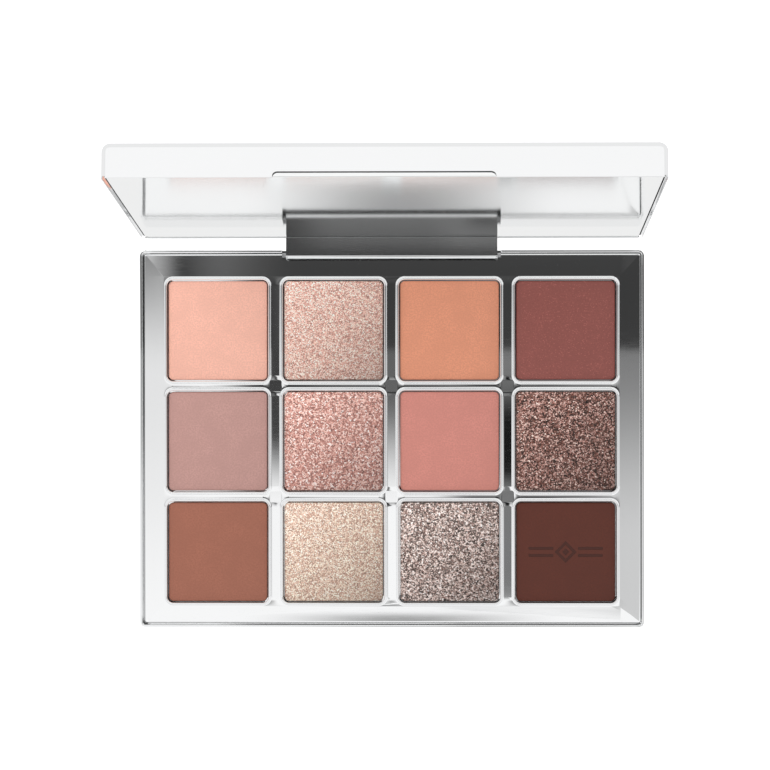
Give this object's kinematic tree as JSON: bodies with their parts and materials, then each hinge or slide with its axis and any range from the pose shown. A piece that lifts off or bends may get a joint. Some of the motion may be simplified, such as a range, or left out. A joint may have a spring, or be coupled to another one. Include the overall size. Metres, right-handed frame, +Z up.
{
  "type": "eyeshadow palette",
  "caption": "Slim mirrored eyeshadow palette in a bright silver case: square pressed powders in beaded wells, with a lid that hinges at the back and holds a full-size mirror.",
  "frame": {"origin": "centre of the base's flat underside, which rests on the table", "axes": "+X to the user's right along the hinge, +Y from the front edge back to the hinge, +Z up out of the powders"},
  "size_m": [0.1064, 0.097, 0.0819],
  "materials": {
    "silver": "moulded plastic with a bright silver vacuum-metallised coating, mirror-like with slight haze",
    "pan_metal": "plain drawn pan, satin",
    "mirror_glass": "polished",
    "black_plastic": "moulded, fine satin",
    "foam_tape": "white double-sided foam tape",
    "pin_steel": "drawn steel wire, satin",
    "magnet_nickel": "nickel plated",
    "label_film": "blank matt label",
    "powder_peach": "soft matte peach pressed powder",
    "powder_champagne_rose": "fine glitter, champagne rose",
    "powder_caramel": "soft matte caramel pressed powder",
    "powder_plum": "satin plum brown with a few sparkles",
    "powder_mauve": "soft matte mauve pressed powder",
    "powder_rose_glitter": "coarse glitter, rose",
    "powder_dusty_rose": "soft matte dusty rose pressed powder",
    "powder_bronze_glitter": "coarse glitter, bronze brown",
    "powder_rust": "soft matte rust brown pressed powder",
    "powder_champagne": "shimmer, pale champagne",
    "powder_taupe_glitter": "coarse glitter, silver taupe",
    "powder_chocolate": "soft matte dark chocolate pressed powder"
  },
  "bodies": {
    "base": {"base_shell": "silver", "pan_frame": "silver", "hinge_pin_left": "pin_steel", "hinge_pin_right": "pin_steel", "base_magnet_left": "magnet_nickel", "base_magnet_right": "magnet_nickel", "base_label": "label_film", "pan_peach": "pan_metal", "pan_champagne_rose": "pan_metal", "pan_caramel": "pan_metal", "pan_plum": "pan_metal", "pan_mauve": "pan_metal", "pan_rose_glitter": "pan_metal", "pan_dusty_rose": "pan_metal", "pan_bronze_glitter": "pan_metal", "pan_rust": "pan_metal", "pan_champagne": "pan_metal", "pan_taupe_glitter": "pan_metal", "pan_chocolate": "pan_metal", "powder_peach": "powder_peach", "powder_champagne_rose": "powder_champagne_rose", "powder_caramel": "powder_caramel", "powder_plum": "powder_plum", "powder_mauve": "powder_mauve", "powder_rose_glitter": "powder_rose_glitter", "powder_dusty_rose": "powder_dusty_rose", "powder_bronze_glitter": "powder_bronze_glitter", "powder_rust": "powder_rust", "powder_champagne": "powder_champagne", "powder_taupe_glitter": "powder_taupe_glitter", "powder_chocolate": "powder_chocolate"},
    "lid": {"lid_shell": "silver", "mirror": "mirror_glass", "mirror_tape": "foam_tape", "mirror_tray": "black_plastic", "lid_magnet_left": "magnet_nickel", "lid_magnet_right": "magnet_nickel"}
  },
  "joints": [
    {"name": "lid_hinge", "type": "hinge", "parent": "base", "child": "lid", "pos_m": [0, 0.03882, 0.00406], "axis": [-1, 0, 0], "range_deg": [-95.8, 6]}
  ]
}
